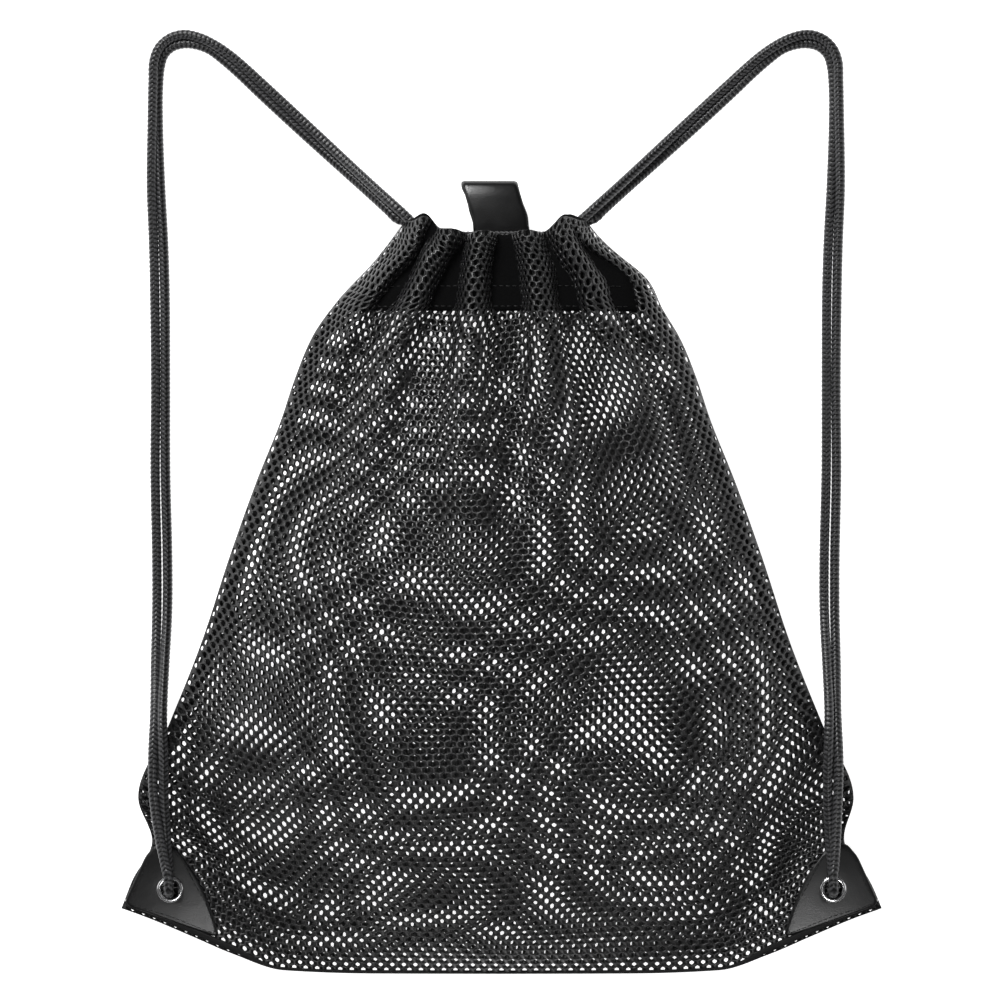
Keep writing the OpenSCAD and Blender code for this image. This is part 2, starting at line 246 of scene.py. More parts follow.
def leather():
    """Smooth polyurethane leather with a fine grain and slightly rubbed high spots."""
    material, tree, shader = new_material("corner_leather", (0.004, 0.004, 0.0044), 0.3,
                                          Specular_IOR_Level=0.5)
    cells = node(tree, "ShaderNodeTexVoronoi", Scale=1500)
    place = node(tree, "ShaderNodeTexCoord")
    tree.links.new(place.outputs["Object"], cells.inputs["Vector"])
    base = ramp(tree, noise(tree, 120, 4), 0.35, 0.75, (0.0018, 0.0018, 0.002), (0.005, 0.005, 0.0053))
    tree.links.new(base, shader.inputs["Base Color"])
    gloss = node(tree, "ShaderNodeMapRange")
    gloss.inputs["To Min"].default_value = 0.24
    gloss.inputs["To Max"].default_value = 0.36
    tree.links.new(noise(tree, 70, 3), gloss.inputs["Value"])
    tree.links.new(gloss.outputs["Result"], shader.inputs["Roughness"])
    grain = bump(tree, shader, cells.outputs["Distance"], 0.00008, 0.35)
    bump(tree, shader, noise(tree, 90, 2), 0.0004, 0.25, after=grain)
    return material


def tape():
    """Woven binding tape: fine ribs across, matte."""
    material, tree, shader = new_material("binding_tape", (0.004, 0.004, 0.0044), 0.6, Specular_IOR_Level=0.3)
    place = node(tree, "ShaderNodeTexCoord")
    ribs = node(tree, "ShaderNodeTexWave", Scale=900, Distortion=0.6)
    tree.links.new(place.outputs["Object"], ribs.inputs["Vector"])
    base = ramp(tree, ribs.outputs["Fac"], 0.1, 0.9, (0.0015, 0.0015, 0.0017), (0.006, 0.006, 0.0064))
    tree.links.new(base, shader.inputs["Base Color"])
    bump(tree, shader, ribs.outputs["Fac"], 0.00015, 0.5)
    return material


def lining_cloth():
    """Dense matte lining, almost without light of its own."""
    material, tree, shader = new_material("lining_cloth", (0.002, 0.002, 0.0021), 0.85,
                                          Specular_IOR_Level=0.08)
    tone = ramp(tree, noise(tree, 1800, 2), 0.3, 0.7, (0.0008, 0.0008, 0.0009), (0.003, 0.003, 0.0032))
    tree.links.new(tone, shader.inputs["Base Color"])
    bump(tree, shader, noise(tree, 3000, 1), 0.00005, 0.4)
    return material


def thread():
    material, tree, shader = new_material("sewing_thread", (0.01, 0.01, 0.011), 0.45, Specular_IOR_Level=0.35)
    base = ramp(tree, noise(tree, 2500, 2), 0.3, 0.7, (0.0012, 0.0012, 0.0013), (0.006, 0.006, 0.0064))
    tree.links.new(base, shader.inputs["Base Color"])
    bump(tree, shader, noise(tree, 4000, 1, (1, 1, 3)), 0.00008, 0.5)
    return material


def nickel():
    """Bright plated brass with faint handling marks."""
    material, tree, shader = new_material("nickel_plate", (0.72, 0.72, 0.74), 0.14, Metallic=1.0)
    gloss = node(tree, "ShaderNodeMapRange")
    gloss.inputs["To Min"].default_value = 0.1
    gloss.inputs["To Max"].default_value = 0.26
    tree.links.new(noise(tree, 400, 4), gloss.inputs["Value"])
    tree.links.new(gloss.outputs["Result"], shader.inputs["Roughness"])
    tone = ramp(tree, noise(tree, 250, 3), 0.3, 0.8, (0.6, 0.6, 0.61), (0.8, 0.8, 0.81))
    tree.links.new(tone, shader.inputs["Base Color"])
    bump(tree, shader, noise(tree, 900, 2, (1, 6, 1)), 0.00002, 0.3)
    return material


MESH, BRAID, LEATHER, TAPE, THREAD, NICKEL = mesh_fabric(), braid(), leather(), tape(), thread(), nickel()
LINING = lining_cloth()


# ---- camera: straight down on the bag's front

VIEW_W = 0.520            # width of the view at the seams' height
LENS = 180.0
SENSOR = 36.0
camera = bpy.data.objects.new("camera", bpy.data.cameras.new("camera"))
bpy.context.scene.collection.objects.link(camera)
camera.data.lens = LENS
camera.data.sensor_width = SENSOR
camera.data.clip_end = 50
camera.location = (-0.0008, 0.0406, NECK_Z * MM + VIEW_W * LENS / SENSOR)
bpy.context.scene.camera = camera


# ---- the drawcords

def spline(points, step):
    """Points about step apart on a smooth line through the given ones."""
    p = np.array(points, float)
    p = np.vstack([2 * p[0] - p[1], p, 2 * p[-1] - p[-2]])
    made = []
    for a, b, c, d in zip(p[:-3], p[1:-2], p[2:-1], p[3:]):
        t0, t1 = 0, np.linalg.norm(b - a) ** 0.5
        t2 = t1 + np.linalg.norm(c - b) ** 0.5
        t3 = t2 + np.linalg.norm(d - c) ** 0.5
        t = np.linspace(t1, t2, 14, endpoint=False)[:, None]
        ab = (t1 - t) / (t1 - t0) * a + (t - t0) / (t1 - t0) * b
        bc = (t2 - t) / (t2 - t1) * b + (t - t1) / (t2 - t1) * c
        cd = (t3 - t) / (t3 - t2) * c + (t - t2) / (t3 - t2) * d
        abc = (t2 - t) / (t2 - t0) * ab + (t - t0) / (t2 - t0) * bc
        bcd = (t3 - t) / (t3 - t1) * bc + (t - t1) / (t3 - t1) * cd
        made.append((t2 - t) / (t2 - t1) * abc + (t - t1) / (t2 - t1) * bcd)
    made = np.vstack(made + [p[-2:-1]])
    along = np.concatenate([[0], np.cumsum(np.linalg.norm(np.diff(made, axis=0), axis=1))])
    at = np.linspace(0, along[-1], int(along[-1] / step) + 1)
    return np.stack([np.interp(at, along, made[:, k]) for k in range(3)], axis=1)


def length_of(path):
    return float(np.linalg.norm(np.diff(path, axis=0), axis=1).sum())


# The left strap's two strands, from the mouth to the eyelet, before the bag leans
STRAP_UPPER = [
    (-48.5, 190.2, 22.4), (-53, 194.4, 21.6), (-62.5, 203.2, 17.5), (-73.5, 213.4, 12),
    (-85.5, 224.5, 7.5), (-101.5, 239.3, 5), (-120.5, 256.9, 4.8), (-132.5, 267.8, 5.1),
    (-138.5, 272.8, 5.5), (-146, 278, 6.1), (-154.5, 282.2, 6), (-163, 284, 5.4),
    (-170.5, 282, 5.5), (-176, 277, 6), (-178.7, 270, 6.3), (-179.5, 260, 6.3),
    (-180, 240, 6), (-180.1, 205, 4.8), (-179.1, 175, 3.2), (-178.5, 148, 2.4),
    (-178, 100, 2.4), (-178.3, 55, 2.4), (-177.7, 10, 2.4), (-177.6, -18, 4.4),
    (-178.2, -45, 11), (-178.5, -70, 20), (-178.3, -92, 26.2), (-177.6, -112, 25.8),
    (-175.7, -134, 26.5), (-173.5, -149, 27.6)]
STRAP_LOWER = [
    (-51.5, 186.8, 17.6), (-56, 191, 16.5), (-65.5, 199.8, 12), (-76.5, 210, 7),
    (-88.5, 221.2, 3.4), (-104.5, 235.9, 2.4), (-123.5, 253.5, 2.4), (-134.5, 264, 2.4),
    (-142.5, 271, 2.4), (-150, 276.5, 2.4), (-157, 279, 2.4), (-163, 279.5, 2.4),
    (-169, 278, 2.4), (-173.5, 274, 2.4), (-175.6, 268, 2.4), (-176.4, 255, 2.4),
    (-176.3, 235, 2.4), (-175.6, 205, 2.4), (-174, 175, 2.4), (-173.2, 148, 2.4),
    (-173, 100, 2.4), (-172.9, 55, 2.4), (-171.6, 10, 2.4), (-171.5, -18, 5.2),
    (-171.9, -45, 14.5), (-171.7, -70, 26.2), (-172, -92, 28), (-172.3, -112, 25.2),
    (-172.4, -134, 21.4), (-172.5, -149, 22.4)]
KNOT_Z = 6.0


def side_by_side(first, second, apart):
    """Both strands of a strap, moved together until they touch, and clear of the floor."""
    a, b = np.array(first, float), np.array(second, float)
    middle, across = (a + b) / 2, b - a
    wide = np.linalg.norm(across, axis=1, keepdims=True)
    across = across * np.minimum(1, apart / wide) / 2
    a, b = middle - across, middle + across
    for strand in (a, b):
        strand[:, 2] = np.maximum(strand[:, 2], CORD_D / 2 + 0.25)
    return a.tolist(), b.tolist()


STRAP_UPPER, STRAP_LOWER = side_by_side(STRAP_UPPER, STRAP_LOWER, CORD_D + 0.1)


def eyelet_end(reach, top):
    """A strand from its last point on the strap, over and down through the eyelet to the knot."""
    x, y = -EYELET[0], EYELET[1]
    return [(x, y + 7.5, top), (x, y + 4.2 - reach, top - 1.6), (x, y + 2.2 - reach, top - 5.2),
            (x, y + 2.1 - reach, PATCH_TOP - 3), (x, y + 2 - reach, KNOT_Z + 5)]


# How each cord leaves its ring, with z from the neck's middle height. The right one clears the left bend
LEFT_EXIT = [(-43.2, 184.5, 2.6), (-41.2, 182, 4.4), (-38, 179.6, 7.4), (-33, 177.6, 10.8)]
RIGHT_EXIT = [(-43.4, 184.5, 2.6), (-43.8, 181.5, 3.2), (-43.9, 177, 4.6), (-41.5, 172.5, 7.2),
              (-36, 170.4, 10), (-31, 170, 11.6)]
RING_HALF = 27.0          # half of a ring's straight runs
RING_R = 12.0             # radius of its bend


def drawcord_route(side, ring_y):
    """Knot, eyelet, strap, round the mouth's channel, strap, eyelet, knot."""
    leaving = LEFT_EXIT if side < 0 else RIGHT_EXIT
    bend = [(RING_HALF + RING_R * math.cos(a), ring_y, NECK_Z + RING_R * math.sin(a))
            for a in np.radians(np.arange(90, -91, -30))]
    ring = ([(x, ring_y, NECK_Z + RING_R) for x in (-20, 0, 16)] + bend
            + [(x, ring_y, NECK_Z - RING_R) for x in (16, 0, -20)])
    route = (eyelet_end(4.2, 28.4)[::-1] + STRAP_UPPER[::-1]
             + [(x, y, NECK_Z + z) for x, y, z in leaving] + ring
             + [(x, y, NECK_Z - z) for x, y, z in leaving[::-1]] + STRAP_LOWER + eyelet_end(0, 23.2))
    return [(-side * x + float(lean_x(y)), y, z) for x, y, z in route]


def frames(path):
    """For each point of a path, two directions across it that don't twist, the first starting upwards."""
    along = unit(np.gradient(path, axis=0))
    up = np.array([0, 0, 1.0]) - along[0] * along[0][2]
    if np.linalg.norm(up) < 0.2:
        up = np.array([0, 1.0, 0]) - along[0] * along[0][1]
    ups = [unit(up)]
    for d in along[1:]:
        last = ups[-1] - d * (ups[-1] @ d)
        ups.append(unit(last))
    ups = np.array(ups)
    return ups, np.cross(along, ups), along


PLAIT = 2.45              # length of one plait along the cord
COLUMNS = 4               # columns of plaits round it
RELIEF = 0.16             # depth of the plaits, as a share of the cord's radius


def braided_tube(path, radius, sides=24):
    """Points and faces of a herringbone-braided cord, and how high each point lies on its plait."""
    up, across, _ = frames(path)
    s = np.concatenate([[0], np.cumsum(np.linalg.norm(np.diff(path, axis=0), axis=1))])[:, None]
    angle = np.arange(sides)[None, :] * 2 * math.pi / sides
    column = angle / (2 * math.pi) * COLUMNS
    place = column - np.floor(column)
    way = np.where(np.floor(column) % 2 < 1, 1, -1)
    plait = np.abs(np.sin(math.pi * (s / PLAIT + way * (place - 0.5) * 0.9))) ** 0.7
    edge = np.sin(math.pi * (0.08 + 0.84 * place)) ** 0.5
    crown = plait * edge
    r = np.asarray(radius).reshape(-1, 1) * (1 - RELIEF * (1 - crown))
    points = (path[:, None] + r[..., None] * (np.cos(angle)[..., None] * up[:, None]
                                              + np.sin(angle)[..., None] * across[:, None]))
    n = len(path)
    grid = np.arange(n * sides).reshape(n, sides)
    a, b = grid[:-1], grid[1:]
    faces = np.stack([a, np.roll(a, -1, 1), np.roll(b, -1, 1), b], -1).reshape(-1, 4).tolist()
    faces += [grid[0][::-1].tolist(), grid[-1].tolist()]
    return points.reshape(-1, 3), faces, crown.reshape(-1)


def drawcord(name, side, ring_y, nodes):
    path = spline(drawcord_route(side, ring_y), 0.42)
    eyelet = np.array([side * EYELET[0], EYELET[1]])
    near = np.linalg.norm(path[:, :2] - eyelet, axis=1)
    tight = smooth(1 - near / 9) * (path[:, 2] < 26)
    radius = CORD_D / 2 - (CORD_D - SQUEEZED_D) / 2 * tight
    points, faces, crown = braided_tube(path, radius)
    piece = add_mesh(name, points, faces, None, BRAID)
    # the crown values drive the material's painted highlight on the plaits and painted shade between them
    mark(piece, "crown", crown)
    mouth = np.array([side * 46 - LEAN, 186.0, 20.0])
    corner = np.array([side * EYELET[0], EYELET[1], 22.0])
    line = unit(corner - mouth)
    outward = np.cross(line, [0, 0, 1.0]) * side * -1
    outward = unit(outward) * np.sign(unit(outward)[0] * side)
    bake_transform(piece)
    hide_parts(*nodes)


def knot(name, side, node_name):
    """Both ends of a drawcord tied in one knot behind the eyelet, with their tails."""
    t = np.linspace(0, 2 * math.pi, 150)
    size = 1.75
    body = np.stack([size * (np.sin(t) + 2 * np.sin(2 * t)), size * (np.cos(t) - 2 * np.cos(2 * t)),
                     1.9 * -np.sin(3 * t) + KNOT_Z], -1)
    parts, crowns = [], []
    centre = np.array([side * EYELET[0], EYELET[1], 0])
    for path, radius in ((body, 2.1),
                         (spline([(-1, 2, 5), (-2, 8, 3.4), (-3, 14, 2.6), (-2, 21, 2.4)], 0.5), 2.2),
                         (spline([(3, 2, 5), (6, 7, 3.2), (9, 12, 2.4), (12, 18, 2.3)], 0.5), 2.2)):
        points, faces, crown = braided_tube(path * [-side, 1, 1] + centre, radius, sides=16)
        parts.append((points, faces))
        crowns.append(crown)
    points, faces = joined(parts)
    piece = add_mesh(name, points, faces, "bag", BRAID)
    # the crown values drive the material's painted highlight on the plaits and painted shade between them
    mark(piece, "crown", np.concatenate(crowns))
    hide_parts(node_name)
    return piece


for label, side, ring_y in (("left", -1, 177), ("right", 1, 170)):
    tied = knot(label + "_cord_knot", side, label + "_knot")
    strands = [label + "_strap_upper", label + "_strap_lower", label + "_channel_cord"]
    drawcord(label + "_drawcord", side, ring_y, strands)


# ---- the bag's cloth

# Folds that fall from the gathered mouth: the crest's line as (y, x), its height, and the y where it ends
FRONT_FOLDS = [
    ([(188, -38), (169, -46.5), (158, -58), (130, -78), (60, -104)], 9, 45),
    ([(188, -22), (178, -23), (162, -32.7), (150, -39), (120, -52), (80, -64), (20, -80)], 9, 10),
    ([(188, -6), (178, -7), (165, -9.5), (150, -11), (137, -11.5), (100, -14), (0, -11), (-60, -12)],
     11, -45),
    ([(188, 15), (178, 16.5), (165, 18.5), (150, 21), (137, 24), (110, 27), (20, 29), (-30, 27)], 10, -25),
    ([(188, 33), (178, 34), (162, 38), (150, 46), (130, 57), (80, 76), (20, 90)], 9, 15),
    ([(188, 41), (176, 46), (169, 55), (158, 68), (130, 86), (60, 110)], 9, 45)]
BACK_FOLDS = [
    ([(188, -34), (150, -58), (60, -92)], 4, 60),
    ([(188, -18), (150, -26), (60, -38)], 4.5, 20),
    ([(188, 2), (150, 2), (60, 4)], 4, 0),
    ([(188, 20), (150, 30), (60, 42)], 4.5, 30),
    ([(188, 36), (150, 62), (60, 96)], 4, 60)]
FOLD_WIDTH = [(-60, 15), (40, 13), (100, 10.5), (137, 8.2), (150, 7.4), (165, 7.1), (188, 6.8)]
LINING_Y = 138.0          # lower edge of the mouth's lining
TUCK = 2.7                # how far the mesh sinks behind the lining between two folds


def folds(table, x, y, tuck=0.0):
    """Height that the gathered folds add, and the mesh's dip between them."""
    total, cover = 0, 0
    for line, height, end in table:
        crest = np.exp(-((x - curve(line, y)) / curve(FOLD_WIDTH, y)) ** 4)
        total = np.maximum(total, (height + tuck) * smooth((y - end) / (150 - end)) * crest)
        cover = np.maximum(cover, crest)
    return total - tuck * smooth((y - LINING_Y + 4) / 10) * (1 - np.clip(cover / 0.5, 0, 1))


def mouth_lift(x, v):
    """How far the folds' ends stand over the mouth's edge, most at the two ears."""
    near = np.max([np.exp(-((x - line[0][1]) / 7) ** 2) for line, _, _ in FRONT_FOLDS], axis=0)
    return (5.5 * np.exp(-((np.abs(x) - 36) / 6) ** 2) + 2.6 * near - 1.2) * smooth((v - 0.9) / 0.1)


def creases(x, y):
    """Pulls that run from the corner eyelets, and the slack between them."""
    total = 0
    for side, turn in ((-1, 0.4), (1, 1.7)):
        dx, dy = (x - side * EYELET[0]) * -side, y - EYELET[1]
        away = np.hypot(dx, dy)
        angle = np.arctan2(dy, dx)
        pull = smooth((away - 14) / 30) * smooth((150 - away) / 90)
        total = total + 2.2 * pull * np.sin(11 * angle + turn + 0.01 * away) * np.cos(angle * 0.9 - 0.7)
    slack = (np.sin(x / 31 + 0.6) * np.sin(y / 43 + 1.1) + 0.6 * np.sin(x / 19 - y / 27)
             + 0.4 * np.sin(x / 13 + y / 37 + 2))
    return total + 1.1 * slack


def low_edge(u):
    return TIP_Y - BOTTOM_SAG * curve(LOWER, np.abs(u))


def mouth_edge(u):
    return MOUTH_Y - MOUTH_DIP * (1 - np.abs(u) ** 3)


def seam_height(v):
    return EAR_Z + (SEAM_Z - EAR_Z) * curve(SEAM, v)


def cloth(side, u, v, folded=True):
    """A point of the front (1) or back (-1) panel: u from side seam to side seam, v from bottom to mouth."""
    x = u * TIP_X * curve(WIDTH, v)
    y = low_edge(u) * (1 - v) + mouth_edge(u) * v
    seam = seam_height(v)
    freed = smooth(((1 - np.abs(u)) / 0.27 + v / 0.115 - 0.95) / 3)
    inner = np.clip(1 - np.abs(u) ** 6, 0, 1)
    upper = smooth((v - 0.82) / 0.14)
    if side > 0:
        arch = np.clip(1 - np.abs(u) ** (2.2 + 1.8 * upper), 0, 1) ** (0.85 - 0.3 * upper)
        z = seam + 0.25 + freed * FRONT_RISE * curve(FRONT, v) * arch
        if folded:
            z = z + inner * (folds(FRONT_FOLDS, x, y, TUCK) + freed * smooth(v * 12) * creases(x, y))
            y = y + inner * mouth_lift(x, v)
    else:
        arch = np.clip(1 - np.abs(u) ** 5, 0, 1) ** 0.6
        z = np.maximum(0.4, seam - 0.25 - 1.04 * freed * (seam - 0.45) * curve(BACK, v) * arch)
        if folded:
            z = z + inner * folds(BACK_FOLDS, x, y) * smooth((seam - z) / 8)
        y = y - 1.2 * smooth((v - 0.88) / 0.12) * inner
    x = x + 7 * smooth(u) * np.exp(-((y - 157) / 13) ** 2)
    return np.stack([x + lean_x(y), y, z], -1)


ACROSS = 6.0              # distance between holes along a row
ROW = 3.2                 # distance between rows
HOLE = (1.27, 1.55)       # half the width and height of a hole
YARN = 0.3                # half the thickness of the knit
GATHERED = 0.3            # how much closer the knit's columns lie at the mouth
LEVELS, SHARES = 900, 700  # the grid that a panel is sampled on, up and across


def net(side, name, *nodes):
    """A panel of knitted mesh. Each cell is a ring of faces round its hole, on both sides of the cloth.

    Returns the piece, its flat (width, length) and the flat area of the knit without its holes, in metres.
    """
    fine_v = np.linspace(0, 1, 500)
    spine = cloth(side, np.full(500, 0.35), fine_v)
    up_cloth = np.concatenate([[0], np.cumsum(np.linalg.norm(np.diff(spine, axis=0), axis=1))])
    rows = int(round(up_cloth[-1] / ROW))
    unit_y = up_cloth[-1] / (3 * rows + 1)
    fine_u = np.sin(np.linspace(-math.pi / 2, math.pi / 2, 360))

    levels = np.linspace(0, up_cloth[-1], LEVELS)
    shares = np.linspace(0, 1, SHARES)
    v = np.interp(levels, up_cloth, fine_v)
    grid = cloth(side, fine_u[None, :], v[:, None])
    ahead = cloth(side, fine_u[None, :], np.clip(v + 0.002, 0, 1)[:, None])
    behind = cloth(side, fine_u[None, :], np.clip(v - 0.002, 0, 1)[:, None])
    normal = unit(np.cross(np.gradient(grid, axis=1), ahead - behind))
    steps = np.linalg.norm(np.diff(grid, axis=1), axis=2)
    s = np.concatenate([np.zeros((LEVELS, 1)), np.cumsum(steps, axis=1)], axis=1)
    halves = s[:, -1] / 2 * (1 + GATHERED * smooth((v - 0.45) / 0.5))
    both = np.concatenate([grid, normal], axis=2)
    even = np.stack([[np.interp(shares * s[h, -1], s[h], both[h, :, k]) for k in range(6)]
                     for h in range(LEVELS)]).transpose(0, 2, 1)

    def sample(share, height):
        """The cloth's place and normal, at a share of the way across and a height up the cloth."""
        across = np.clip(share, 0, 1) * (SHARES - 1)
        up = np.clip(height / up_cloth[-1], 0, 1) * (LEVELS - 1)
        i, j = np.minimum(across.astype(int), SHARES - 2), np.minimum(up.astype(int), LEVELS - 2)
        a, b = (across - i)[:, None], (up - j)[:, None]
        lower = even[j, i] * (1 - a) + even[j, i + 1] * a
        upper = even[j + 1, i] * (1 - a) + even[j + 1, i + 1] * a
        return lower * (1 - b) + upper * b

    half_at = np.interp((3 * np.arange(rows) + 2) * unit_y, levels, halves)
    kept = {}
    for j in range(rows):
        reach = int((half_at[j] - ACROSS * 0.2) / (ACROSS / 2))
        for i in range(-reach, reach + 1):
            if (i + j) % 2 == 0:
                kept[(i, j)] = True
    corner = [(0, 2), (-1, 1), (-1, -1), (0, -2), (1, -1), (1, 1)]
    hole = [(math.cos(a) * HOLE[0], math.sin(a) * HOLE[1]) for a in np.radians([90, 150, 210, 270, 330, 30])]

    index, wanted = {}, []                # wanted: (across the cloth, up the cloth, side of an open edge)
    for (i, j) in kept:
        for di, dj in corner:
            key = (i + di, 3 * j + 2 + dj)
            if key in index:
                continue
            ix, iy = key
            if iy % 3 == 1:
                around = [(ix, (iy - 4) // 3), (ix + 1, (iy - 1) // 3), (ix - 1, (iy - 1) // 3)]
            else:
                around = [(ix, iy // 3), (ix + 1, iy // 3 - 1), (ix - 1, iy // 3 - 1)]
            open_side = any(0 <= q < rows and (p, q) not in kept for p, q in around)
            index[key] = len(wanted)
            b = 0 if iy <= 1 else 3 * rows + 1 if iy >= 3 * rows else iy
            wanted.append((ix * ACROSS / 2, b * unit_y, (1 if ix > 0 else -1) if open_side else 0))
    corners = len(wanted)
    for (i, j) in kept:
        for c, s in hole:
            wanted.append((i * ACROSS / 2 + c, (3 * j + 2) * unit_y + s, 0))
    wanted = np.array(wanted)

    half = np.interp(wanted[:, 1], levels, halves)
    share = np.where(wanted[:, 2] != 0, wanted[:, 2], np.clip(wanted[:, 0] / half, -0.999, 0.999))
    x, y = wanted[:, 0] + 40 * side, wanted[:, 1]
    # The knit lies unevenly, and more so on the back, but its edges stay on the seams
    loose = (1 - share ** 4) * smooth(np.minimum(y, up_cloth[-1] - y) / (30 if side > 0 else 55))
    if side > 0:
        share = share + loose / half * 1.4 * np.sin(x / 21 - y / 17 + 2)
        up = y + loose * 1.1 * np.sin(x / 19 + y / 23 + 1)
    else:
        share = share + loose / half * 9 * np.sin(y / 33 + 0.7)
        up = y + loose * 9 * np.sin(x / 36 + 0.4)
    found = sample((share + 1) / 2, up)
    places, outs = found[:, :3], unit(found[:, 3:]) * side

    rim = places[corners:]
    top, under = places[:corners] + outs[:corners] * YARN, places[:corners] - outs[:corners] * YARN
    under[:, 2] = np.maximum(under[:, 2], 0.05)
    top[:, 2] = np.maximum(top[:, 2], 0.02)
    points = np.vstack([top, under, rim])
    faces, edges = [], {}
    for n, (i, j) in enumerate(kept):
        c = [index[(i + di, 3 * j + 2 + dj)] for di, dj in corner]
        r = [2 * corners + 6 * n + k for k in range(6)]
        for k in range(6):
            m = (k + 1) % 6
            faces.append((c[k], c[m], r[m], r[k]))
            faces.append((r[k], r[m], c[m] + corners, c[k] + corners))
            if edges.pop((c[m], c[k]), None) is None:
                edges[(c[k], c[m])] = True
    faces += [(b, a, a + corners, b + corners) for a, b in edges]
    if side < 0:
        faces = [f[::-1] for f in faces]
    piece = add_mesh(name, points, faces, "bag", MESH)
    # the yarns' crowns get 1 and the holes' rims 0, for the material's painted highlight on the crowns and
    # painted shade at the rims
    mark(piece, "crown", np.concatenate([np.ones(2 * corners), np.zeros(len(rim))]))
    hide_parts(*nodes)
    cloth_area = float(2 * half_at.sum() * 3 * unit_y)
    knit_share = 1 - math.pi * HOLE[0] * HOLE[1] / (ACROSS * ROW)
    return piece, (2 * half_at.max() * MM, up_cloth[-1] * MM), cloth_area * knit_share * MM * MM


def slab(grid, thick):
    """A closed strip of cloth or leather over a grid of points, with rounded rims."""
    grid = np.asarray(grid, float)
    normal = unit(np.cross(np.gradient(grid, axis=1), np.gradient(grid, axis=0)))
    rows, across = grid.shape[:2]
    i, j = np.arange(rows)[:, None], np.arange(across)[None, :]
    rim = (i == 0) | (i == rows - 1) | (j == 0) | (j == across - 1)
    half = np.where(rim, 0.3, 1.0)[..., None] * thick / 2
    points = np.vstack([(grid + normal * half).reshape(-1, 3), (grid - normal * half).reshape(-1, 3)])
    at = np.arange(rows * across).reshape(rows, across)
    a, b, c, d = at[:-1, :-1], at[:-1, 1:], at[1:, 1:], at[1:, :-1]
    upper = np.stack([a, b, c, d], -1).reshape(-1, 4)
    faces = upper.tolist() + (upper[:, ::-1] + rows * across).tolist()
    loop = np.concatenate([at[0, :-1], at[:-1, -1], at[-1, :0:-1], at[:0:-1, 0]])
    after = np.roll(loop, -1)
    n = rows * across
    faces += [(q, p, p + n, q + n) for p, q in zip(loop.tolist(), after.tolist())]
    return points, faces


front_mesh, front_flat, front_area = net(1, "front_mesh", "front_panel_lower", "front_panel_middle",
                                         "front_panel_upper")
back_mesh, back_flat, back_area = net(-1, "back_mesh", "back_panel_lower", "back_panel_upper")


def channel_lining(name, side, low_y, high_y):
    """The inner wall of the cords' channel: half of an oval inside the rings of cord."""
    angle = np.radians(np.linspace(176, 4, 70) if side > 0 else np.linspace(184, 356, 70))
    y = np.linspace(low_y, high_y, 9)[:, None]
    x = CHANNEL[0] * np.cos(angle)[None, :] + 0 * y
    z = NECK_Z + CHANNEL[1] * np.sin(angle)[None, :] + 0 * y
    points, faces = slab(np.stack([x + lean_x(y), y + 0 * x, z], -1), 0.6)
    piece = add_mesh(name, points, faces, "bag", LINING)
    return piece


def lining(name, side, low_y, high_drop, lift, node_name):
    """The solid band inside the mouth, the outer wall of the cords' channel."""
    u = np.linspace(-0.975, 0.975, 120)[None, :]
    t = np.linspace(0, 1, 16)[:, None]
    y = low_y + (mouth_edge(u) - high_drop - low_y) * t
    v = (y - low_edge(u)) / (mouth_edge(u) - low_edge(u))
    grid = cloth(side, u, v, folded=False)
    grid[..., 1] = y + (mouth_lift(grid[..., 0] + LEAN, v) if side > 0 else 0)
    grid[..., 2] += lift
    points, faces = slab(grid, 0.7)
    piece = add_mesh(name, points, faces, "bag", LINING)
    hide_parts(node_name)
    return grid


CHANNEL = (35.6, 8.6)     # half the width and height of the channel's inner wall
front_wall = channel_lining("front_channel_wall", 1, 160, 176.5)
back_wall = channel_lining("back_channel_wall", -1, 160, 176)
front_lining = lining("front_lining", 1, LINING_Y, -0.3, -0.5, "front_channel_tape")
lining("back_lining", -1, 146, 2.4, 2.0, "back_channel_tape")


# ---- seams

def ribbon(centre, width, thick):
    """A flat strip along a line. width may be one number, or one for each point."""
    centre = np.asarray(centre, float)
    ahead = unit(np.gradient(centre, axis=0))
    across = unit(np.cross(ahead, np.array([0, 0, 1.0])))
    share = np.linspace(-0.5, 0.5, 7)
    width = np.broadcast_to(width, len(centre))
    grid = centre[:, None] + across[:, None] * (share[None, :] * width[:, None])[..., None]
    return slab(grid, thick)


def side_line(side, inset, lift=0.0):
    """A line that follows a side seam, inset from it."""
    v = np.linspace(0.17, 0.93, 90)
    x = side * (TIP_X * curve(WIDTH, v) - inset)
    y = low_edge(1) * (1 - v) + mouth_edge(1) * v
    x = x + 7 * (side > 0) * np.exp(-((y - 157) / 13) ** 2)
    return np.stack([x + lean_x(y), y, seam_height(v) + lift], -1)


def capsule(a, b, radius):
    """One stitch from a to b."""
    a, b = np.array(a, float), np.array(b, float)
    d = unit(b - a)
    s = unit(np.cross(d, [0.1, 0.2, 1.0]))
    t = np.cross(s, d)
    points, faces = [], []
    for at, r in ((0, 0.35), (0.12, 0.9), (0.5, 1), (0.88, 0.9), (1, 0.35)):
        for k in range(6):
            w = k * math.pi / 3
            points.append(a + (b - a) * at + (s * math.cos(w) + t * math.sin(w)) * radius * r)
    for ring in range(4):
        for k in range(6):
            m = (k + 1) % 6
            faces.append((ring * 6 + k, ring * 6 + m, ring * 6 + 6 + m, ring * 6 + 6 + k))
    faces += [tuple(range(5, -1, -1)), tuple(range(24, 30))]
    return points, faces


def stitches(line, pitch=3.4, length=2.5, radius=0.3):
    """A row of stitches along a line of points."""
    line = np.asarray(line, float)
    along = np.concatenate([[0], np.cumsum(np.linalg.norm(np.diff(line, axis=0), axis=1))])

    def at(s):
        return [np.interp(s, along, line[:, k]) for k in range(3)]

    return [capsule(at(s), at(s + length), radius) for s in np.arange(0.4, along[-1] - length, pitch)]


def add_stitches(name, rows, node_name):
    points, faces = joined([p for row in rows for p in row])
    piece = add_mesh(name, points, faces, "bag", THREAD)
    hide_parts(node_name)
    return piece


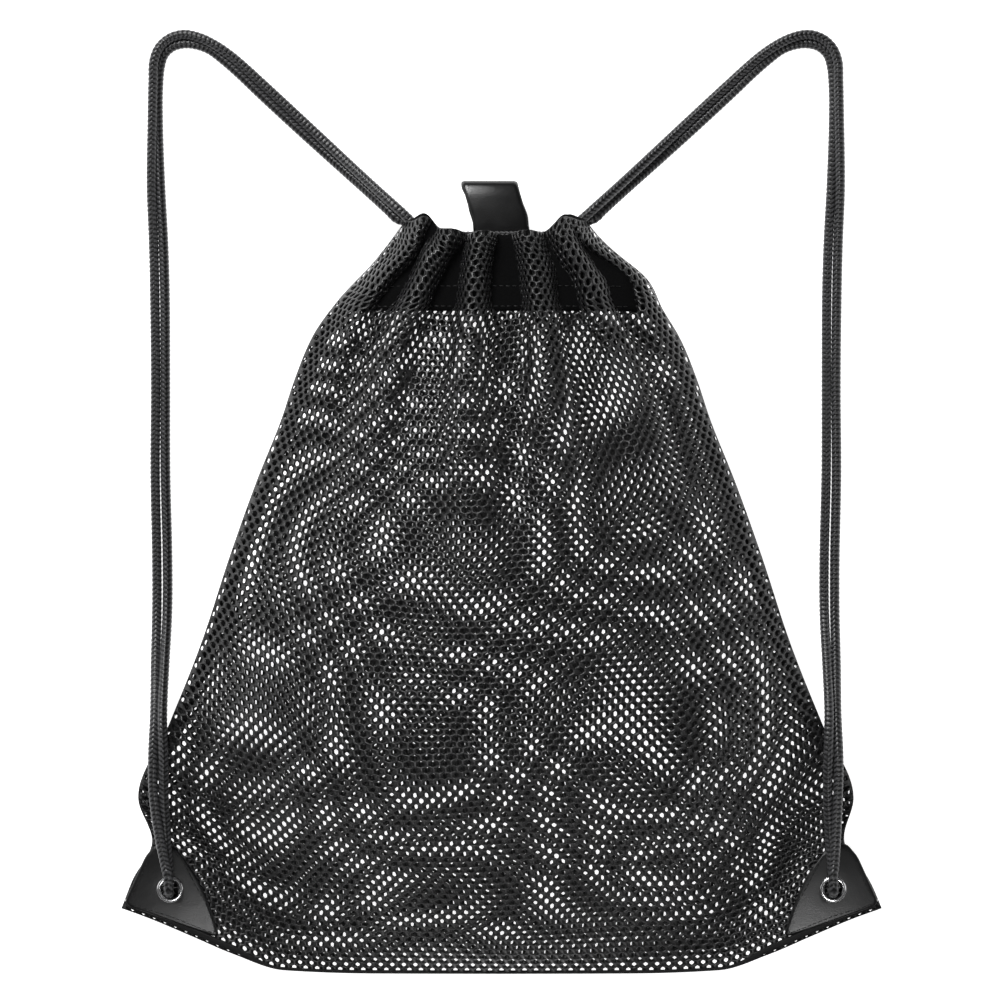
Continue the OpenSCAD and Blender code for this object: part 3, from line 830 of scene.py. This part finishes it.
trim = {1: [], -1: []}
for label, side in (("left", -1), ("right", 1)):
    points, faces = ribbon(side_line(side, 5.5), 6.0, 1.5)
    tape_piece = add_mesh(label + "_side_binding", points, faces, "bag", TAPE)
    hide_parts(label + "_side_tape")
    trim[1].append(tape_piece)
trim[1].append(add_stitches("side_seam_stitches", [stitches(side_line(side, 5.5, 1.0)) for side in (-1, 1)],
                            "side_stitches"))

u = np.linspace(-0.985, 0.985, 260)
hem = cloth(1, u, np.full(260, 0.0))
hem[:, 2] = EAR_Z
corner_hem = smooth((np.abs(hem[:, 0]) - 118) / 26)
hem[:, 1] += 0.9 + 2.2 * corner_hem
points, faces = ribbon(hem, 1.5 + 1.9 * corner_hem, 3.0)
bottom = add_mesh("bottom_seam", points, faces, "bag", TAPE)
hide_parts("bottom_seam_tape")
trim[1].append(bottom)

rows = []
for y in (LINING_Y + 2.5, LINING_Y + 13):
    line = np.array([front_lining[np.abs(front_lining[:, k, 1] - y).argmin(), k] for k in range(8, 112)])
    line[:, 1] = y
    rows.append(stitches(line + [0, 0, 0.45]))
trim[1].append(add_stitches("channel_seam_stitches", rows, "channel_stitches"))


# ---- corner patches, eyelets and washers

PATCH = [(-197, -170), (-190.5, -156), (-185.5, -145), (-180, -138.5), (-173, -138.5), (-166.5, -144),
         (-158.3, -156.3), (-152, -170), (-146.5, -187.5), (-160, -183.2), (-178, -176.6)]


def outline(points):
    """A closed polygon with its corners rounded off a little."""
    p = np.array(points, float)
    for _ in range(2):
        after = np.roll(p, -1, 0)
        p = np.stack([p * 0.86 + after * 0.14, p * 0.14 + after * 0.86], 1).reshape(-1, 2)
    return p


def ray_reach(shape, centre, angle):
    """Distance from a centre to the outline along each angle."""
    d = np.stack([np.cos(angle), np.sin(angle)], -1)
    a, b = shape - centre, np.roll(shape, -1, 0) - centre
    e = b - a
    best = np.full(len(angle), 1e9)
    for p, q in zip(a, e):
        cross = d[:, 0] * q[1] - d[:, 1] * q[0]
        t = (p[0] * q[1] - p[1] * q[0]) / np.where(np.abs(cross) < 1e-9, 1e-9, cross)
        w = (p[0] * d[:, 1] - p[1] * d[:, 0]) / np.where(np.abs(cross) < 1e-9, 1e-9, cross)
        best = np.where((t > 0) & (w >= 0) & (w <= 1) & (t < best), t, best)
    return best


def patch_height(x, y, face):
    """The patch's outer face: flat round its eyelet, and falling away towards its inner end."""
    away = np.hypot(np.abs(x) - EYELET[0], y - EYELET[1])
    fall = 1.5 * np.clip((away - 8) / 26, 0, 1.1) ** 1.4
    return PATCH_TOP - fall if face > 0 else PATCH_BACK + 0.4 * fall


def patch(name, side, face, node_name):
    shape = outline(PATCH)
    centre = np.array([-EYELET[0], EYELET[1]])
    angle = np.arange(160) * 2 * math.pi / 160
    reach = ray_reach(shape, centre, angle)
    inner = EYELET_BORE + 0.8
    d = np.stack([np.cos(angle), np.sin(angle)], -1)
    rings = []
    for share, depth in ((0, 1.2), (0, 0.15), (0.03, 0.0), (0.15, 0), (0.3, 0), (0.45, 0), (0.6, 0),
                         (0.75, 0), (0.88, 0), (0.955, 0.05), (0.985, 0.3), (1, 0.75), (0.985, 1.2)):
        p = centre + d * (inner + (reach - inner) * share)[:, None]
        top = patch_height(p[:, 0], p[:, 1], face)
        rings.append(np.column_stack([p[:, 0] * -side, p[:, 1], top - face * depth]))
    n, m = len(rings), len(angle)
    at = np.arange(n * m).reshape(n, m)
    faces = []
    for k in range(n):
        a, b = at[k], at[(k + 1) % n]
        faces += np.stack([a, b, np.roll(b, -1), np.roll(a, -1)], -1).tolist()
    if side * face > 0:
        faces = [f[::-1] for f in faces]
    piece = add_mesh(name, np.vstack(rings), faces, "bag", LEATHER)
    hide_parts(node_name)
    return piece


def turned(name, side, profile, node_name):
    """A piece turned about the eyelet's axis from a closed profile of (radius, z)."""
    count = 72
    points, faces = [], []
    for k in range(count):
        w = 2 * math.pi * k / count
        points += [(side * EYELET[0] + r * math.cos(w), EYELET[1] + r * math.sin(w), z) for r, z in profile]
    n = len(profile)
    for k in range(count):
        m = (k + 1) % count
        faces += [(k * n + a, m * n + a, m * n + (a + 1) % n, k * n + (a + 1) % n) for a in range(n)]
    piece = add_mesh(name, points, faces, "bag", NICKEL)
    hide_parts(node_name)
    return piece


def rolled(centre_r, centre_z, wide, high, start, stop, count=10):
    return [(centre_r + wide * math.cos(a), centre_z + high * math.sin(a))
            for a in np.radians(np.linspace(start, stop, count))]


for label, side in (("left", -1), ("right", 1)):
    for face, place in ((1, "front"), (-1, "back")):
        trim[face].append(patch(label + "_" + place + "_patch", side, face, label + "_corner_" + place))
    seam = outline(PATCH)
    middle = np.array([-166.0, -162.0])
    inset = middle + (seam - middle) * (1 - 2.4 / np.linalg.norm(seam - middle, axis=1))[:, None]
    line = np.column_stack([inset[:, 0] * -side, inset[:, 1],
                            patch_height(inset[:, 0], inset[:, 1], 1) + 0.12])
    trim[1].append(add_stitches(label + "_patch_stitches", [stitches(line, 3.0, 2.2, 0.24)],
                                label + "_corner_stitches"))
    turned(label + "_eyelet_ring", side,
           [(EYELET_BORE + 0.6, PATCH_TOP + 0.05), (EYELET_BORE + 0.5, 12.6), (EYELET_BORE + 0.2, 12.0),
            (EYELET_BORE - 0.05, 12.5)] + rolled(5.75, PATCH_TOP + 0.2, 1.3, 1.15, 180, 0, 14),
           label + "_eyelet")
    turned(label + "_washer", side, rolled(6.2, 13.0, 0.85, 0.42, 0, 345, 16), label + "_eyelet_washer")


# ---- the hang loop

# (y, z) along the strip, from its lower sewn end round the fold to its upper one
LOOP_LINE = [(152, 13.0), (165, 13.2), (178, 13.9), (186, 14.2), (194, 13.6), (200, 13.2), (204.4, 14.0),
             (206.2, 16.2), (204.9, 18.7), (201, 20.2), (195, 21.2), (186, 22.0), (176, 22.0), (166, 21.2)]


def hang_loop():
    """A strip of tape sewn to the back's edge, which rises above the mouth and folds forward."""
    line = np.array(LOOP_LINE, float)
    line = spline(np.column_stack([np.zeros(len(line)), line]), 1.1)
    share = np.linspace(0, 1, len(line))
    centre = curve([(0, 0.8), (0.25, 0.6), (0.33, -0.4), (0.42, -3.4), (0.48, -5.4), (0.53, -6.8),
                    (0.58, -6.3), (0.69, -3.7), (0.79, -0.6), (1, 0.4)], share)
    across = np.linspace(-1, 1, 21)
    half = LOOP_W / 2 * (1 - 0.08 * np.exp(-((share - 0.47) / 0.06) ** 2))
    x = centre[:, None] + across[None, :] * half[:, None]
    crown = 0.9 * (1 - across[None, :] ** 2) * smooth((share[:, None] - 0.4) / 0.2)
    grid = np.stack([x, np.repeat(line[:, 1:2], 21, 1), line[:, 2:3] + crown], -1)
    points, faces = slab(grid, 1.3)
    piece = add_mesh("hang_loop_strip", points, faces, None, LEATHER)
    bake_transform(piece)
    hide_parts("hang_loop", "hang_loop_base")
    return piece, (LOOP_W * MM, length_of(line) * MM)


loop_strip, loop_flat = hang_loop()
box = [(-15, 156), (9, 156), (9, 180), (-15, 180), (-15, 156), (9, 180), (9, 156), (-15, 180)]
seams = []
for (x0, y0), (x1, y1) in zip(box[:-1], box[1:]):
    t = np.linspace(0, 1, 20)
    line = np.column_stack([x0 + (x1 - x0) * t, y0 + (y1 - y0) * t, np.full(20, 13.9)])
    line[:, 2] = np.interp(line[:, 1], [152, 165, 178], [13.6, 13.8, 14.5])
    seams.append(stitches(line))
loop_threads = add_stitches("loop_stitches", seams, "hang_loop_stitches")


# ---- floor and light

def floor():
    """A pale floor a little under the bag, bright enough to read as white."""
    mesh = bpy.data.meshes.new("floor")
    size = 6.0
    mesh.from_pydata([(-size, -size, 0), (size, -size, 0), (size, size, 0), (-size, size, 0)], [],
                     [(0, 1, 2, 3)])
    material, tree, shader = new_material("pale_floor", (0.86, 0.86, 0.86), 0.9)
    shader.inputs["Emission Color"].default_value = (1, 1, 1, 1)
    shader.inputs["Emission Strength"].default_value = 0.95
    mesh.materials.append(material)
    piece = bpy.data.objects.new("floor", mesh)
    bpy.context.scene.collection.objects.link(piece)
    piece.location.z = -0.0003


def area_light(name, place, size, power):
    """A square light that points at the middle of the bag."""
    light = bpy.data.objects.new(name, bpy.data.lights.new(name, "AREA"))
    light.data.shape = "SQUARE"
    light.data.size = size
    light.data.energy = power
    light.location = place
    direction = -np.array(place, float)
    light.rotation_mode = "QUATERNION"
    light.rotation_quaternion = Vector(direction).to_track_quat("-Z", "Y")
    bpy.context.scene.collection.objects.link(light)


floor()
area_light("key_light", (-0.9, 1.7, 2.0), 0.9, 62)
area_light("fill_light", (0.1, -1.0, 2.7), 0.6, 17)
area_light("left_light", (-2.0, 0.4, 0.7), 1.2, 6)
area_light("right_light", (2.0, 0.2, 0.7), 1.2, 6)
world = bpy.data.worlds.new("studio")
world.use_nodes = True
world.node_tree.nodes["Background"].inputs["Color"].default_value = (1, 1, 1, 1)
world.node_tree.nodes["Background"].inputs["Strength"].default_value = 0.08
bpy.context.scene.world = world
bpy.context.scene.view_settings.view_transform = "Standard"
